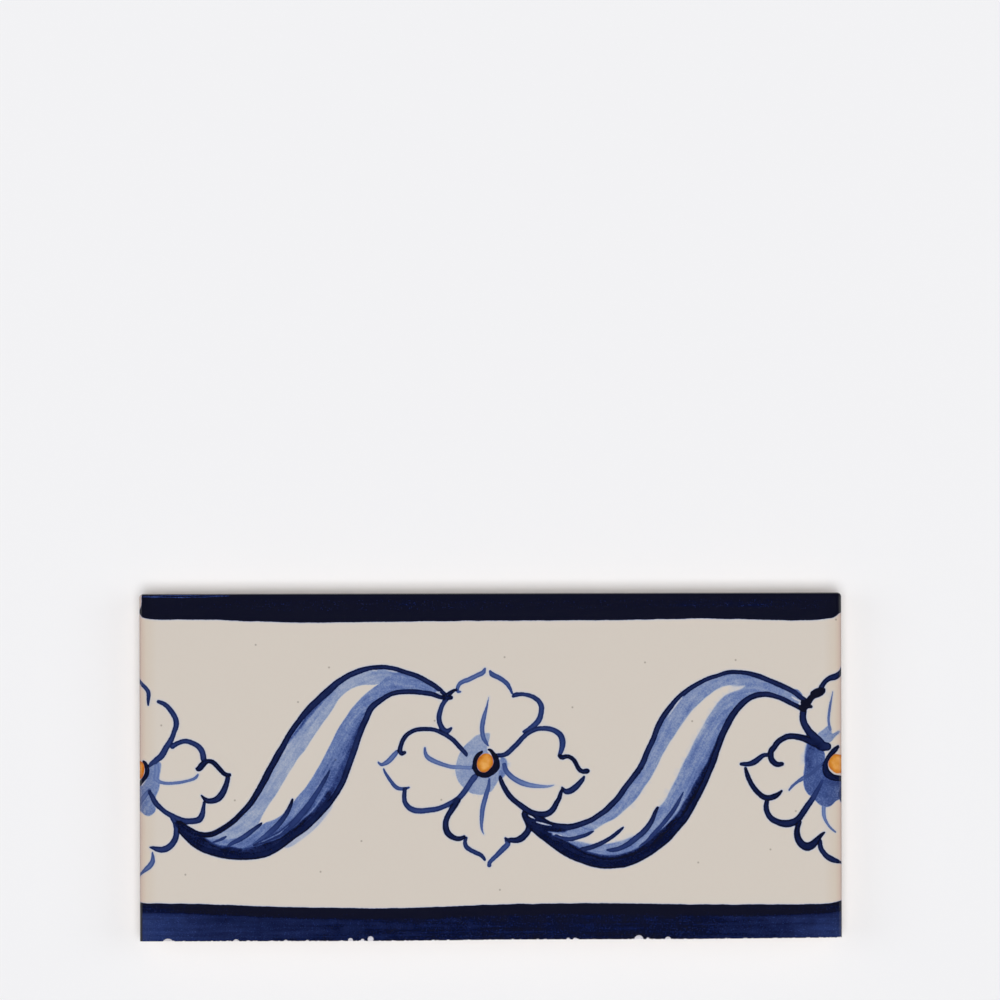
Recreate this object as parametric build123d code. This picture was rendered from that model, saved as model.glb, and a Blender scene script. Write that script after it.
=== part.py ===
from build123d import *
import math
import os

# Border piece of a square wall tile: pressed and glazed whole, then sawn in two.
# +X runs along the long edge, +Y away from the sawn edge, +Z is the glazed face.

# The whole pressed tile
MODULE = 140.0  # side of the square, and the length of the piece
THICKNESS = 8.0
CORNER_RADIUS = 0.8  # corners, seen on the face
ARRIS_RADIUS = 0.6  # rounded edge that the glaze runs over
LAND = 2.4  # upright band of the sides, under the face
DRAFT_ANGLE = 2.5  # slope of the sides below the land, so the tile leaves its die
BACK_BEVEL = 0.5  # 45 degrees, round the back

# Keying grooves pressed into the back
MARGIN = 9.0  # plain border between the tile's edges and the grooves
GROOVE_PITCH = 6.9
GROOVE_WIDTH = 3.2
GROOVE_DEPTH = 0.7
GROOVE_ANGLE = 20.0  # slope of the groove walls

# What the saw left
WIDTH = 69.25  # at the wide, left end
CUT_RISE = 0.48  # how much narrower the right end is
WANDER = ((-18.0, 0.0), (2.0, 0.2), (42.0, 0.24))  # X and rise where the cut changes course

# Chips along the face side of the cut: X, length along the edge, depth into the face
CHIPS = (
    (-64.4, 2.0, 0.55),
    (-50.8, 1.3, 0.4),
    (-40.9, 0.9, 0.28),
    (-36.6, 0.8, 0.25),
    (-28.0, 1.0, 0.6),
    (-25.6, 0.7, 0.45),
    (-24.0, 1.0, 0.95),
    (15.4, 0.8, 0.35),
    (16.8, 1.0, 0.35),
    (29.5, 1.9, 0.8),
    (31.3, 0.7, 0.35),
    (35.3, 1.3, 0.5),
)

os.makedirs("parts", exist_ok=True)

# The sawn edge, from the left end to the right end
half_length = MODULE / 2
cut_y = -WIDTH / 2
cut_line = (
    (-half_length, cut_y),
    *((x, cut_y + rise) for x, rise in WANDER),
    (half_length, cut_y + CUT_RISE),
)


def edge_y(x):
    """Y of the sawn edge at one X along it."""
    for (x0, y0), (x1, y1) in zip(cut_line, cut_line[1:]):
        if x <= x1:
            return y0 + (y1 - y0) * (x - x0) / (x1 - x0)
    return cut_line[-1][1]


# Pressed blank: an upright land on top, drafted sides below, and a bevel round the back
centre_y = WIDTH / 2 - MODULE / 2
outline = Pos(0, centre_y, THICKNESS - LAND) * RectangleRounded(MODULE, MODULE, CORNER_RADIUS)
land = extrude(outline, LAND)
body = extrude(outline, -(THICKNESS - LAND - BACK_BEVEL), taper=DRAFT_ANGLE)
foot = extrude(body.faces().sort_by(Axis.Z)[0], BACK_BEVEL, taper=45)
tile = land + body + foot
tile = fillet(tile.faces().sort_by(Axis.Z)[-1].edges(), ARRIS_RADIUS)

# Grooves, an even number so that a rib runs down the middle of the back
groove_length = MODULE - 2 * MARGIN
groove_field = groove_length - GROOVE_WIDTH
groove_count = 2 * math.floor((groove_field / GROOVE_PITCH + 1) / 2)
mouths = Pos(0, centre_y, 0) * GridLocations(GROOVE_PITCH, 0, groove_count, 1)
groove = SlotOverall(groove_length, GROOVE_WIDTH, rotation=90)
for place in mouths:
    tile -= extrude(place * groove, GROOVE_DEPTH, taper=GROOVE_ANGLE)

# Saw: everything on the -Y side of the cut line goes
far_y = centre_y - MODULE
waste = make_face(
    Polyline(
        (-MODULE, far_y),
        (-MODULE, cut_y),
        *cut_line,
        (MODULE, cut_y + CUT_RISE),
        (MODULE, far_y),
        close=True,
    )
)
tile -= extrude(waste, THICKNESS)

# Chips: shell-shaped bites out of the corner between face and cut
for x, length, depth in CHIPS:
    radius = (length**2 / 4 + depth**2) / (2 * depth)
    tile -= Pos(x, edge_y(x) + depth - radius, THICKNESS) * Sphere(radius)

tile.label = "tile"
export_step(tile, "parts/tile.step")
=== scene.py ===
import math

import bmesh
import bpy
import numpy as np
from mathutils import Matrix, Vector, noise
from mathutils.geometry import delaunay_2d_cdt


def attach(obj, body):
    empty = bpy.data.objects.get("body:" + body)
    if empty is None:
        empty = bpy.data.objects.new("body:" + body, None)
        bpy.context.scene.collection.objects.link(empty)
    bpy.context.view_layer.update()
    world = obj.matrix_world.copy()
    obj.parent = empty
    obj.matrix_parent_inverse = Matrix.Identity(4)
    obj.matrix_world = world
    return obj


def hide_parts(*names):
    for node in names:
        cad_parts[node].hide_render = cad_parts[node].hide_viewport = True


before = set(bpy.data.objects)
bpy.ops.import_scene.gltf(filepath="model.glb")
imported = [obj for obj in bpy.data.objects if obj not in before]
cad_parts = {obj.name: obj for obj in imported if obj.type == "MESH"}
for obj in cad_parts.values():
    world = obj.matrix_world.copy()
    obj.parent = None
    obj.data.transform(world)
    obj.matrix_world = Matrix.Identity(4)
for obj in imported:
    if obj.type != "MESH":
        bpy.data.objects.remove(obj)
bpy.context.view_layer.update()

# ---------------------------------------------------------------- pressed clay blank
# The body of the tile: pale clay pressed in a die, so its sides are drafted below an
# upright land, and sawn along its lower long edge after it was glazed. Lengths here
# are in millimetres, and MM brings them to the frame's metres when a mesh is made.

MM = 0.001
LENGTH = 140.0
TOP_EDGE = 34.625
THICKNESS = 8.0
CORNER_RADIUS = 0.8
ARRIS_RADIUS = 0.6
LAND_FOOT = 5.6  # height at which the upright land ends
BEVEL_TOP = 0.5  # height at which the bevel round the back starts
DRAFT = math.tan(math.radians(2.5))
BORDER_STEP = 0.34  # between points along the border
CLOSEST = 0.02  # points of the cut nearer than this to the next one are left out
CHIP_STEPS = 9  # points of the cut in front of a chip
FLAT_HALF = 69.3  # the face is flat up to here from its middle

# Where the saw went: X and Y of each change of course
CUT_X = (-70.0, -18.0, 2.0, 42.0, 70.0)
CUT_Y = (-34.625, -34.625, -34.425, -34.385, -34.145)


def cut_y(x):
    """Y of the sawn edge at each X."""
    return np.interp(x, CUT_X, CUT_Y)


# Chips along the face side of the cut: X, length along the edge, depth into the face
CHIPS = (
    (-64.4, 2.0, 0.55),
    (-50.8, 1.3, 0.4),
    (-40.9, 0.9, 0.28),
    (-36.6, 0.8, 0.25),
    (-28.0, 1.0, 0.6),
    (-25.6, 0.7, 0.45),
    (-24.0, 1.0, 0.95),
    (15.4, 0.8, 0.35),
    (16.8, 1.0, 0.35),
    (29.5, 1.9, 0.8),
    (31.3, 0.7, 0.35),
    (35.3, 1.3, 0.5),
)


def chip_ball(x, length, depth):
    """Centre and radius of the ball whose lower half is the chip's hollow."""
    radius = (length**2 / 4 + depth**2) / (2 * depth)
    return x, cut_y(x) + depth - radius, radius


# The face's border, anticlockwise from the left end of the cut: place and inward normal
half = LENGTH / 2
cut_runs = [(-FLAT_HALF, FLAT_HALF, round(2 * FLAT_HALF / BORDER_STEP))]
cut_runs += [(x - length / 2, x + length / 2, CHIP_STEPS) for x, length, _ in CHIPS]
arris_insets = [ARRIS_RADIUS * (1 - math.sin(math.radians(a))) for a in (90, 68, 45, 22, 0)]
cut_xs = {round(s * (half - inset), 4) for inset in arris_insets for s in (-1, 1)}
for run in cut_runs:
    cut_xs |= set(np.round(np.linspace(*run), 4))
cut_xs = sorted(cut_xs)
cut_xs = [x for x, after in zip(cut_xs, cut_xs[1:] + [math.inf]) if after - x > CLOSEST]

border = [(x, float(cut_y(x)), 0.0, 0.0) for x in cut_xs]
side_from = {1: float(cut_y(half)), -1: float(cut_y(-half))}
side_to = TOP_EDGE - CORNER_RADIUS
side_count = round((side_to - side_from[1]) / BORDER_STEP)
border += [(half, y, -1.0, 0.0) for y in np.linspace(side_from[1], side_to, side_count)[1:-1]]
for quarter, centre_x in ((0, half - CORNER_RADIUS), (1, CORNER_RADIUS - half)):
    for step in range(7):
        a = math.radians(90 * quarter + 15 * step)
        c, s = math.cos(a), math.sin(a)
        border.append((centre_x + CORNER_RADIUS * c, side_to + CORNER_RADIUS * s, -c, -s))
    if quarter == 0:
        run = half - CORNER_RADIUS
        xs = np.linspace(run, -run, round(2 * run / BORDER_STEP))[1:-1]
        border += [(x, TOP_EDGE, 0.0, -1.0) for x in xs]
border += [(-half, y, 1.0, 0.0) for y in np.linspace(side_to, side_from[-1], side_count)[1:-1]]
border = np.array(border)
cut_count = len(cut_xs)


def ring(inset):
    """The border moved in by a distance on its three pressed sides, open at the cut."""
    points = border[:, :2] + inset * border[:, 2:]
    points[:cut_count, 0] *= (half - inset) / half
    points[:cut_count, 1] = cut_y(points[:cut_count, 0])
    return points


def level(points, z):
    """Places in the plane, raised to a height."""
    return np.column_stack([points, np.broadcast_to(z, len(points))])


def mesh_of(name, verts, faces):
    """A mesh in metres from places in mm."""
    mesh = bpy.data.meshes.new(name)
    mesh.from_pydata([tuple(v) for v in np.asarray(verts) * MM], [], faces)
    mesh.update()
    return mesh


def add(name, mesh):
    """An object of this mesh at the origin, in the scene."""
    piece = bpy.data.objects.new(name, mesh)
    bpy.context.scene.collection.objects.link(piece)
    return piece


n = len(border)
foot_inset = (LAND_FOOT - BEVEL_TOP) * DRAFT
blank_rings = (
    level(ring(0.0), LAND_FOOT),
    level(ring(foot_inset), BEVEL_TOP),
    level(ring(foot_inset + BEVEL_TOP), 0.0),
)
blank_faces = [tuple(range(n)), tuple(reversed(range(2 * n, 3 * n)))]
for r in (0, 1):
    for i in range(n):
        j = (i + 1) % n
        blank_faces.append((r * n + i, (r + 1) * n + i, (r + 1) * n + j, r * n + j))
blank = add("pressed_blank", mesh_of("pressed_blank", np.vstack(blank_rings), blank_faces))

# ---------------------------------------------------------------- keyed back
# Shallow grooves that the die presses into the back so that mortar can key into it.
# They run up from the sawn edge, where the saw opened them, to a plain margin.


def new_tree(name, kind, inputs, outputs):
    """A node tree with its named inputs and outputs."""
    tree = bpy.data.node_groups.new(name, kind)
    for label, socket, default in inputs:
        made = tree.interface.new_socket(label, in_out="INPUT", socket_type=socket)
        if default is not None:
            made.default_value = default
    for label, socket in outputs:
        tree.interface.new_socket(label, in_out="OUTPUT", socket_type=socket)
    return tree


def node(tree, kind, settings=None, **links):
    """Adds a node. Each link gives an input by its name or number a value or a socket."""
    made = tree.nodes.new(kind)
    for key, value in (settings or {}).items():
        setattr(made, key, value)
    for key, value in links.items():
        socket = made.inputs[int(key[1:]) if key[1:].isdigit() else key.replace("_", " ")]
        if isinstance(value, bpy.types.NodeSocket):
            tree.links.new(value, socket)
        else:
            socket.default_value = value
    return made


clay = bpy.data.materials.new("fired_clay")

keying = new_tree(
    "keying_grooves",
    "GeometryNodeTree",
    [
        ("Blank", "NodeSocketGeometry", None),
        ("Grooves", "NodeSocketInt", 18),
        ("Pitch", "NodeSocketFloat", 6.9 * MM),
        ("Mouth", "NodeSocketFloat", 3.2 * MM),
        ("Depth", "NodeSocketFloat", 0.7 * MM),
        ("Wall Slope", "NodeSocketFloat", math.tan(math.radians(20))),
        ("Round End Y", "NodeSocketFloat", 24.025 * MM),
        ("Start Y", "NodeSocketFloat", -40.0 * MM),
        ("Overcut", "NodeSocketFloat", 0.3 * MM),
        ("Material", "NodeSocketMaterial", None),
    ],
    [("Geometry", "NodeSocketGeometry")],
)
gin = keying.nodes.new("NodeGroupInput").outputs


def calc(op, a, b=0.0):
    return node(keying, "ShaderNodeMath", {"operation": op}, _0=a, _1=b).outputs[0]


def xyz(x=0.0, y=0.0, z=0.0):
    return node(keying, "ShaderNodeCombineXYZ", X=x, Y=y, Z=z).outputs[0]


tool_height = calc("ADD", gin["Depth"], gin["Overcut"])
tool_middle = calc("MULTIPLY", calc("SUBTRACT", gin["Depth"], gin["Overcut"]), 0.5)
run = calc("SUBTRACT", gin["Round End Y"], gin["Start Y"])
# A bar as wide as the mouth, whose walls lean in by the slope as they rise
bar = node(keying, "GeometryNodeMeshCube", Size=xyz(gin["Mouth"], run, tool_height))
at = node(keying, "GeometryNodeInputPosition").outputs[0]
parts = node(keying, "ShaderNodeSeparateXYZ", Vector=at)
rise = calc("ADD", parts.outputs["Z"], tool_middle)
side = calc("SIGN", parts.outputs["X"])
lean = calc("MULTIPLY", calc("MULTIPLY", side, rise), gin["Wall Slope"])
leaning = node(
    keying,
    "GeometryNodeSetPosition",
    Geometry=bar.outputs["Mesh"],
    Offset=xyz(calc("MULTIPLY", lean, -1.0)),
)
bar_y = calc("MULTIPLY", calc("ADD", gin["Round End Y"], gin["Start Y"]), 0.5)
bar_set = node(
    keying,
    "GeometryNodeTransform",
    Geometry=leaning.outputs[0],
    Translation=xyz(0.0, bar_y, tool_middle),
)
# The round end of the groove, a short cone of the same slope
half_mouth = calc("MULTIPLY", gin["Mouth"], 0.5)
end = node(
    keying,
    "GeometryNodeMeshCone",
    Vertices=32,
    Radius_Top=calc("SUBTRACT", half_mouth, calc("MULTIPLY", gin["Depth"], gin["Wall Slope"])),
    Radius_Bottom=calc("ADD", half_mouth, calc("MULTIPLY", gin["Overcut"], gin["Wall Slope"])),
    Depth=tool_height,
)
end_set = node(
    keying,
    "GeometryNodeTransform",
    Geometry=end.outputs["Mesh"],
    Translation=xyz(0.0, gin["Round End Y"], calc("MULTIPLY", gin["Overcut"], -1.0)),
)
gaps = calc("SUBTRACT", gin["Grooves"], 1.0)
first = calc("MULTIPLY", calc("MULTIPLY", gaps, gin["Pitch"]), -0.5)
places = node(
    keying,
    "GeometryNodeMeshLine",
    Count=gin["Grooves"],
    Start_Location=xyz(first),
    Offset=xyz(gin["Pitch"]),
)
tools = []
for shape in (bar_set, end_set):
    on = node(
        keying,
        "GeometryNodeInstanceOnPoints",
        Points=places.outputs["Mesh"],
        Instance=shape.outputs[0],
    )
    tools.append(node(keying, "GeometryNodeRealizeInstances", Geometry=on.outputs[0]).outputs[0])
cut = gin["Blank"]
exact = {"operation": "DIFFERENCE", "solver": "EXACT"}
for tool in tools:
    cutter = node(keying, "GeometryNodeMeshBoolean", exact, _0=cut)
    keying.links.new(tool, cutter.inputs[1])
    cut = cutter.outputs["Mesh"]
whole = node(keying, "GeometryNodeRealizeInstances", Geometry=cut)
dressed = node(
    keying, "GeometryNodeSetMaterial", Geometry=whole.outputs[0], Material=gin["Material"]
)
node(keying, "NodeGroupOutput", Geometry=dressed.outputs[0])

press = blank.modifiers.new("keying", "NODES")
press.node_group = keying
for item in keying.interface.items_tree:
    if item.name == "Material":
        press[item.identifier] = clay
evaluated = blank.evaluated_get(bpy.context.evaluated_depsgraph_get())
keyed = bpy.data.meshes.new_from_object(evaluated)
blank.modifiers.clear()
bpy.data.objects.remove(blank)

# ---------------------------------------------------------------- cobalt brushwork
# The motif is laid on the raw white glaze with a cobalt wash, in single strokes of a
# soft brush, and sinks into the glaze in the kiln. A stroke is its tone, 0 bare to 1
# black, and the places it passes, each X, Y and the brush's width there. Two marks here
# stand for light: a painted reflection along the upper band's rounded top edge, and a
# painted sheen that leaves the lower band paler at its left end.

lines = []
washes = []
lifts_and_glints = []
ochres = []
spines = []


def smooth(points, closed=False, parts=4):
    """A curve through the points (Catmull-Rom), as more points."""
    p = np.array(points, float)
    if closed:
        p = np.vstack([p[-1:], p, p[:2]])
    else:
        p = np.vstack([2 * p[0] - p[1], p, 2 * p[-1] - p[-2]])
    t = np.linspace(0, 1, parts, endpoint=False)[:, None]
    out = []
    for a, b, c, d in zip(p, p[1:], p[2:], p[3:]):
        out.append(
            0.5 * (2 * b + (c - a) * t + (2 * a - 5 * b + 4 * c - d) * t**2)
            + 0.5 * (3 * b - a - 3 * c + d) * t**3
        )
    return np.vstack(out if closed else out + [p[-2:-1]])


def stroke(tone, *points):
    lines.append((tone, smooth(points)))


def pool(tone, *points):
    """A stretch of solid paint, given by its outline."""
    lines.append((tone, smooth(points, closed=True)[:, :2]))


def wash(tone, *points, soft=0.2):
    """A thin, watery layer, given by its outline, whose edge fades over this width."""
    washes.append((tone, soft, smooth(points, closed=True)))


def lift_or_glint(tone, *points):
    """A hair of paler paint that the splayed brush left inside a dark stroke; once, a painted
    reflection along the upper band's rounded top edge.
    """
    lifts_and_glints.append((tone, smooth(points)))


# The flower in the middle: eight petals round a ring
stroke(0.62, (-1.11, 19.62, 0.4), (-1.46, 18.83, 0.9), (-2.58, 18.23, 0.95), (-4.31, 17.48, 0.95),
       (-5.43, 17.06, 0.85), (-6.21, 16.49, 0.75), (-6.59, 15.7, 0.7), (-6.52, 15.04, 0.6),
       (-6.04, 15.01, 0.4))
stroke(0.72, (-0.1, 19.05, 0.5), (0.29, 18.52, 0.95), (1.07, 18.13, 0.95), (1.93, 17.71, 0.95),
       (2.8, 17.05, 0.9), (3.4, 16.44, 0.85), (3.83, 15.75, 0.7), (4.18, 15.14, 0.55),
       (4.32, 14.79, 0.45))
stroke((0.87, 0.84, 0.82), (4.53, 14.13, 0.6), (5.04, 14.41, 0.95), (6.08, 14.53, 0.85),
       (7.29, 14.36, 0.85), (8.67, 13.84, 0.95), (9.71, 12.97, 1.05), (10.19, 11.84, 1.15),
       (10.05, 10.45, 1.1), (9.62, 9.32, 1.15), (8.67, 8.28, 1.15), (7.63, 7.47, 0.95),
       (6.6, 7.01, 0.5))
stroke((0.9, 0.87, 0.8), (0.9, 2.29, 0.8), (2.45, 2.38, 0.9), (3.58, 2.9, 1), (4.53, 3.85, 1),
       (5.56, 4.9, 1), (6.6, 6.02, 0.95), (7.72, 6.89, 0.95), (9.02, 7.47, 0.95),
       (10.4, 7.66, 0.95), (11.78, 7.59, 1), (12.99, 7.15, 1.1), (13.94, 6.37, 1.15),
       (14.34, 5.24, 1.2), (14.28, 4.03, 1.1), (13.94, 2.81, 0.85), (13.71, 2.26, 0.6))
stroke(1.0, (13.64, 2.2, 0.5), (14.28, 1.86, 0.95), (15.23, 2.08, 0.85), (16.18, 1.77, 0.9),
       (16.79, 1.16, 0.9), (17.27, 0.21, 0.9), (17.74, -0.57, 0.95), (18.43, -0.92, 0.95),
       (19.1, -0.83, 1.1), (19.4, -0.8, 0.8))
stroke(0.92, (18.6, -1.96, 0.45), (18.26, -2.6, 0.85), (17.56, -3.46, 1.05), (16.7, -4.24, 1.25),
       (15.75, -4.84, 1.25), (14.97, -4.93, 1.05), (14.37, -4.33, 0.55), (14.25, -4.1, 0.35))
stroke(0.97, (14.28, -4.5, 0.5), (13.94, -5.28, 0.8), (13.64, -6.31, 0.95), (13.07, -7.35, 1.05),
       (12.47, -8.39, 1.15), (11.61, -9.17, 1.25), (10.57, -9.46, 1.3), (9.36, -9.46, 1.3),
       (8.15, -9.17, 1.3), (7.12, -8.56, 1.25), (6.08, -7.79, 1.15), (5.04, -6.97, 1.1),
       (4.09, -6.11, 1.1), (3.32, -5.19, 1.05), (2.71, -4.15, 1), (2.25, -3.2, 0.95),
       (1.97, -2.34, 0.8), (1.9, -1.9, 0.5))
stroke((0.74, 0.55, 0.35), (2.71, 0.43, 0.9), (2.97, -0.52, 1), (3.66, -1.47, 1.05),
       (4.7, -2.34, 1.1), (5.91, -3.03, 1.15), (7.29, -3.51, 1.1), (9.02, -3.79, 0.85),
       (10.74, -3.93, 0.6), (12.12, -3.77, 0.35), (12.64, -3.63, 0.15))
stroke((0.97, 0.9), (-17.13, 2.97, 0.7), (-17.75, 2.7, 0.9), (-18.05, 3.39, 1),
       (-17.87, 4.23, 0.9), (-17.44, 5.27, 0.9), (-16.67, 6.4, 0.9), (-15.54, 7.18, 0.9),
       (-14.33, 7.53, 0.88), (-12.78, 7.58, 0.85), (-11.31, 7.44, 0.85), (-9.93, 6.92, 0.9),
       (-8.63, 6.31, 0.95), (-7.42, 5.44, 0.95), (-6.47, 4.4, 0.9), (-5.61, 3.44, 0.9),
       (-4.95, 2.7, 0.85), (-4.79, 2.31, 0.5))
stroke(0.88, (-8.72, 13.7, 1), (-9.23, 13.01, 0.95), (-9.8, 11.97, 0.95), (-10.15, 10.66, 1),
       (-10.22, 9.62, 1), (-10.01, 8.57, 1.05), (-9.49, 7.62, 1.15), (-8.8, 7.18, 1.1),
       (-8.2, 7.44, 0.85), (-7.8, 7.79, 0.5))
stroke(1.0, (-8.72, 14.31, 0.9), (-7.94, 14.83, 0.9), (-7.33, 15.27, 0.65), (-6.87, 15.39, 0.35))
stroke(1.0, (-9.3, 13.9, 0.8), (-8.5, 13.85, 0.9), (-7.9, 13.85, 0.8), (-7.75, 13.95, 0.5))
stroke(0.6, (-18.65, 3.01, 0.8), (-19.34, 2.23, 1.05), (-20.12, 1.44, 1.05), (-20.9, 0.84, 0.9),
       (-21.68, 0.54, 0.65), (-22.28, 0.84, 0.4), (-22.4, 1.0, 0.3))
stroke(0.7, (-21.31, -0.29, 0.3), (-20.98, -1.16, 0.5), (-20.47, -2.02, 0.65),
       (-19.78, -2.98, 0.75), (-18.91, -3.93, 0.85), (-17.96, -4.31, 0.75), (-16.92, -4.27, 0.6),
       (-16.23, -4.01, 0.35))
stroke((0.92, 0.82, 0.85, 0.8), (-17.1, -4.45, 0.8), (-17.24, -5.4, 0.85), (-17.24, -6.26, 0.9),
       (-16.96, -7.21, 0.95), (-16.23, -8.08, 1.05), (-15.02, -8.6, 1.1), (-13.64, -8.69, 1.1),
       (-12.09, -8.51, 1.05), (-10.53, -8.25, 1), (-9.15, -7.79, 1), (-7.77, -7.13, 1.05),
       (-6.64, -6.44, 1.1), (-5.69, -5.48, 1.1), (-4.83, -4.36, 1.1), (-4.14, -3.24, 1.1),
       (-3.44, -2.28, 1.2), (-3.0, -1.8, 1))
stroke(0.97, (-6.56, -6.7, 1.1), (-7.33, -7.82, 1.2), (-8.03, -8.86, 1.1), (-8.63, -9.9, 1.1),
       (-8.94, -11.11, 1.15), (-8.94, -12.15, 1.25), (-8.63, -13.1, 1.3), (-7.94, -13.79, 1.2),
       (-7.07, -14.19, 1), (-6.12, -14.26, 0.9), (-5.43, -13.96, 0.75), (-5.26, -13.74, 0.4))
stroke(0.85, (-4.91, -14.14, 0.6), (-5.14, -14.91, 0.75), (-4.91, -15.86, 0.9),
       (-4.14, -16.47, 0.9), (-3.1, -16.99, 0.9), (-2.24, -17.42, 0.85), (-1.63, -17.94, 0.75),
       (-1.23, -18.51, 0.55), (-1.17, -18.63, 0.35))
stroke(0.75, (-0.31, -19.6, 0.85), (-0.22, -19.1, 0.8), (0.29, -18.46, 0.85), (1.24, -17.53, 0.95),
       (2.28, -16.56, 1.1), (3.14, -15.66, 1.1), (3.4, -15.22, 1), (3.1, -14.6, 0.7))
stroke(0.95, (2.94, -14.19, 0.45), (3.4, -14.53, 0.7), (4.09, -14.58, 0.95), (5.04, -14.65, 1.1),
       (6.08, -14.27, 1.3), (6.94, -13.49, 1.3), (7.5, -12.54, 1.2), (7.6, -11.68, 1.2),
       (7.35, -10.81, 1.3), (7.0, -10.12, 1.3), (6.7, -9.4, 1.2))
stroke((0.7, 0.55), (-0.2, -2.46, 0.4), (-0.42, -4.01, 0.75), (-0.85, -5.57, 0.95),
       (-1.34, -7.13, 0.95), (-1.67, -8.69, 0.9), (-1.84, -10.24, 0.8), (-1.86, -11.45, 0.6),
       (-1.67, -12.66, 0.4), (-1.34, -13.44, 0.12))
stroke((0.55, 0.68), (-0.3, 13.97, 0.1), (-0.64, 12.23, 0.4), (-1.16, 10.49, 0.75),
       (-1.54, 8.92, 0.9), (-1.67, 7.36, 0.9), (-1.46, 5.97, 0.9), (-0.94, 4.92, 0.7),
       (-0.47, 4.26, 0.3))
stroke((0.6, 0.5), (-13.09, 3.84, 0.4), (-13.02, 3.01, 0.65), (-12.69, 2.14, 0.85),
       (-11.83, 1.48, 0.95), (-10.53, 0.92, 0.9), (-9.15, 0.4, 0.8), (-7.59, 0.05, 0.8),
       (-5.69, -0.07, 0.8), (-3.88, -0.09, 0.8))
stroke(1.08, (-1.78, 3.06, 0.5), (-2.34, 2.59, 0.8), (-2.85, 1.84, 0.85), (-3.13, 1.0, 0.9),
       (-3.18, 0.07, 0.95), (-2.95, -0.68, 0.95), (-2.43, -1.29, 1), (-1.69, -1.57, 1.1),
       (-0.86, -1.6, 1.2), (-0.11, -1.24, 1.3), (0.54, -0.68, 1.45), (1.02, -0.03, 1.5),
       (1.19, 0.72, 1.25), (1.1, 1.47, 1.1), (0.82, 2.21, 0.95), (0.45, 2.82, 0.8),
       (0.03, 3.34, 0.65), (-0.44, 3.5, 0.4))
wash(0.32, (-0.4, 6.8), (-2.6, 6.4), (-3.9, 5.4), (-5.0, 4.4), (-5.7, 3.5), (-6.5, 2), (-6.9, 0.8),
     (-7.1, -0.5), (-7.0, -1.5), (-6.6, -2.6), (-5.9, -3.6), (-4.2, -5.1), (-3.0, -5.4),
     (-2.0, -5.6), (-1.2, -5.4), (0.1, -4.9), (0.8, -3.9), (1.4, -2.9), (2.2, -1.6), (3.1, 0.6),
     (3.1, 1.7), (2.4, 1.9), (1.0, 1.5), (-0.6, 3.2), (-0.6, 4.4), (-0.3, 5.2), (-0.1, 6.2))
wash(0.46, (2.0, 1.9), (3.1, 1.6), (3.4, 0.2), (3.0, -1.6), (1.7, -2.5), (1.6, -1.0), (2.1, 0.4),
     soft=0.5)
ochres.append(smooth([(-1.5, -1.1), (-2.4, -0.5), (-2.75, 0.6), (-2.3, 2.0), (-1.3, 2.7),
                      (-0.3, 2.6), (0.4, 1.9), (0.45, 0.5), (-0.4, -0.7)], closed=True))

# The flower that the left edge cuts through
stroke((0.75, 0.9), (-71, 18.6, 0.5), (-70, 17.43, 0.5), (-69.5, 16.68, 0.7), (-68.86, 15.99, 0.8),
       (-68.29, 15.23, 0.85), (-68.17, 14.48, 0.85), (-68.2, 13.7, 0.7), (-68.22, 12.92, 0.5),
       (-68.22, 12.48, 0.35))
stroke(0.87, (-66.15, 13.14, 0.7), (-65.32, 12.83, 0.85), (-64.37, 12.17, 0.9),
       (-63.59, 11.27, 0.95), (-62.99, 10.23, 1), (-62.69, 9.18, 1.1), (-62.76, 8.14, 1.1),
       (-63.07, 7.1, 1), (-63.45, 6.06, 1.05), (-64.02, 5.02, 1.2), (-64.72, 3.89, 1.25),
       (-65.56, 2.46, 1.3), (-66.6, 1.59, 1.15), (-67.46, 0.9, 0.9), (-68.07, 0.35, 0.6))
stroke(0.88, (-63.42, 4.24, 1.1), (-62.56, 4.76, 0.95), (-61.52, 5.16, 0.95), (-60.48, 5.23, 1),
       (-59.36, 4.88, 1.05), (-58.38, 4.29, 1.1), (-57.69, 3.49, 1.15), (-57.32, 2.59, 1.2),
       (-57.2, 1.72, 1.2), (-56.93, 1.4, 1))
stroke(1.0, (-58.65, -0.2, 0.5), (-58.27, -0.3, 0.9), (-57.88, 0, 1.3), (-57.18, 0.81, 1.2),
       (-56.32, 1.28, 0.9), (-55.46, 1.16, 0.95), (-54.68, 0.55, 0.95), (-53.99, -0.31, 0.95),
       (-53.3, -1.09, 0.9), (-52.61, -1.44, 0.85), (-52, -1.44, 0.7))
stroke(0.95, (-52.35, -2.01, 0.9), (-52.61, -3.08, 1), (-53.09, -4.38, 1.2), (-53.73, -5.5, 1.35),
       (-54.59, -6.28, 1.25), (-55.63, -6.63, 1.15), (-56.58, -6.54, 1), (-57.27, -6.02, 0.6),
       (-57.67, -5.54, 0.35))
stroke(0.9, (-57.13, -6.97, 0.6), (-57.27, -8.1, 0.8), (-57.48, -9.31, 1.1), (-58.05, -10.26, 1.2),
       (-59, -10.61, 1.2), (-60.21, -10.69, 1.25), (-61.42, -10.52, 1.15), (-62.63, -10.09, 1.1),
       (-63.66, -9.52, 1.05), (-64.7, -8.93, 1), (-65.65, -8.18, 1), (-66.51, -7.4, 1.05),
       (-67.08, -6.54, 1), (-67.5, -5.67, 0.9), (-67.84, -4.98, 0.7), (-68.01, -4.64, 0.4))
stroke(0.88, (-63.49, -9.91, 1), (-62.94, -10.87, 1.1), (-62.66, -12.08, 1.2),
       (-62.66, -13.29, 1.2), (-62.94, -14.41, 1.2), (-63.63, -15.36, 1.25), (-64.61, -16.06, 1.3),
       (-65.65, -16.32, 1.25), (-66.6, -16.23, 1), (-67.29, -16.02, 0.7), (-67.89, -15.88, 0.35))
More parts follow.
